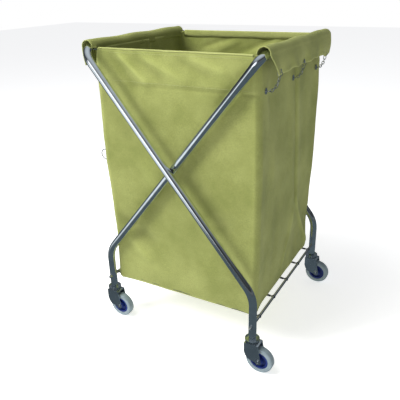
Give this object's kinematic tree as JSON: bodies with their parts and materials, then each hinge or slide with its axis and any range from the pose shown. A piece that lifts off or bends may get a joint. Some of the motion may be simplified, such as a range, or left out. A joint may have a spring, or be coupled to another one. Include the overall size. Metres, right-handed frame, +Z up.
{
  "type": "linen trolley",
  "caption": "Folding X-frame linen trolley: crossed bent-tube frames carry an open-topped canvas bag over swivel casters, with chains holding its flaps.",
  "frame": {"origin": "on the floor, midway between the four caster stems", "axes": "+X to the right of the front face, the side the casters trail towards; +Y to the rear; +Z up, the longest side"},
  "size_m": [0.6632, 0.6245, 0.9785],
  "materials": {
    "chrome_tube": "bright chromed bent tube",
    "plated_steel": "bright zinc or nickel plated small hardware",
    "caster_steel": "chromed pressed sheet, slightly satin",
    "dark_wire": "darkened spring wire and crimps",
    "nylon": "dark nylon washer",
    "elastic_cord": "braided elastic cord",
    "canvas": "khaki-green coated canvas, plain weave",
    "base_board": "canvas-covered stiffening board",
    "hub_blue": "navy-blue moulded hub",
    "tyre_grey": "grey non-marking rubber"
  },
  "bodies": {
    "cords": {"support_cords": "elastic_cord"},
    "pivot": {"pivot_spacers": "nylon"},
    "outer_frame": {"outer_tube": "chrome_tube", "outer_tie_rod": "plated_steel", "outer_rod_nuts": "plated_steel", "pivot_studs": "plated_steel", "pivot_nuts": "plated_steel", "outer_caster_stems": "caster_steel", "outer_race_cups": "caster_steel", "outer_cord_hooks": "dark_wire"},
    "inner_frame": {"inner_tube": "chrome_tube", "inner_tie_rod": "plated_steel", "inner_rod_nuts": "plated_steel", "inner_caster_stems": "caster_steel", "inner_race_cups": "caster_steel", "inner_cord_hooks": "dark_wire"},
    "bag": {"bag_body": "canvas", "bag_base": "base_board", "top_hems": "canvas", "left_flap": "canvas", "right_flap": "canvas", "flap_eyelets": "plated_steel", "flap_rings": "plated_steel", "left_chains": "plated_steel", "right_chains": "plated_steel", "panel_loops": "plated_steel", "side_ring": "plated_steel", "side_ring_tab": "canvas"},
    "swivel_fr": {"fork_fr": "caster_steel", "bearing_balls_fr": "plated_steel", "axle_bolt_fr": "plated_steel", "axle_nut_fr": "plated_steel", "axle_bush_fr": "plated_steel"},
    "wheel_fr": {"hub_fr": "hub_blue", "tyre_fr": "tyre_grey"},
    "swivel_rr": {"fork_rr": "caster_steel", "bearing_balls_rr": "plated_steel", "axle_bolt_rr": "plated_steel", "axle_nut_rr": "plated_steel", "axle_bush_rr": "plated_steel"},
    "wheel_rr": {"hub_rr": "hub_blue", "tyre_rr": "tyre_grey"},
    "swivel_fl": {"fork_fl": "caster_steel", "bearing_balls_fl": "plated_steel", "axle_bolt_fl": "plated_steel", "axle_nut_fl": "plated_steel", "axle_bush_fl": "plated_steel"},
    "wheel_fl": {"hub_fl": "hub_blue", "tyre_fl": "tyre_grey"},
    "swivel_rl": {"fork_rl": "caster_steel", "bearing_balls_rl": "plated_steel", "axle_bolt_rl": "plated_steel", "axle_nut_rl": "plated_steel", "axle_bush_rl": "plated_steel"},
    "wheel_rl": {"hub_rl": "hub_blue", "tyre_rl": "tyre_grey"}
  },
  "joints": [
    {"name": "pivot_lift", "type": "slide", "parent": "cords", "child": "pivot", "axis": [0, 0, 1], "range_m": [0, 0.0756]},
    {"name": "fold", "type": "hinge", "parent": "pivot", "child": "outer_frame", "pos_m": [0, 0, 0.6135], "axis": [0, 1, 0], "range_deg": [0, 22], "deforming": ["bag_body", "bag_base", "top_hems", "left_flap", "right_flap", "support_cords"]},
    {"name": "inner_fold", "type": "hinge", "parent": "pivot", "child": "inner_frame", "pos_m": [0, 0, 0.6135], "axis": [0, 1, 0], "range_deg": [-22.05, 0]},
    {"name": "bag_lift", "type": "slide", "parent": "pivot", "child": "bag", "axis": [0, 0, 1], "range_m": [0, 0.0813]},
    {"name": "swivel_fr", "type": "hinge", "parent": "outer_frame", "child": "swivel_fr", "pos_m": [0.283, -0.288, 0.11], "axis": [0, 0, 1], "continuous": true},
    {"name": "roll_fr", "type": "hinge", "parent": "swivel_fr", "child": "wheel_fr", "pos_m": [0.311, -0.288, 0.0445], "axis": [0, 1, 0], "continuous": true},
    {"name": "swivel_rr", "type": "hinge", "parent": "outer_frame", "child": "swivel_rr", "pos_m": [0.283, 0.288, 0.11], "axis": [0, 0, 1], "continuous": true},
    {"name": "roll_rr", "type": "hinge", "parent": "swivel_rr", "child": "wheel_rr", "pos_m": [0.311, 0.288, 0.0445], "axis": [0, 1, 0], "continuous": true},
    {"name": "swivel_fl", "type": "hinge", "parent": "inner_frame", "child": "swivel_fl", "pos_m": [-0.283, -0.26, 0.11], "axis": [0, 0, 1], "continuous": true},
    {"name": "roll_fl", "type": "hinge", "parent": "swivel_fl", "child": "wheel_fl", "pos_m": [-0.255, -0.26, 0.0445], "axis": [0, 1, 0], "continuous": true},
    {"name": "swivel_rl", "type": "hinge", "parent": "inner_frame", "child": "swivel_rl", "pos_m": [-0.283, 0.26, 0.11], "axis": [0, 0, 1], "continuous": true},
    {"name": "roll_rl", "type": "hinge", "parent": "swivel_rl", "child": "wheel_rl", "pos_m": [-0.255, 0.26, 0.0445], "axis": [0, 1, 0], "continuous": true}
  ],
  "couplings": [
    {"joint": "pivot_lift", "follows": "fold", "m_per_rad": 0.19551},
    {"joint": "inner_fold", "follows": "fold", "ratio": -1},
    {"joint": "bag_lift", "follows": "fold", "m_per_rad": 0.21039}
  ]
}
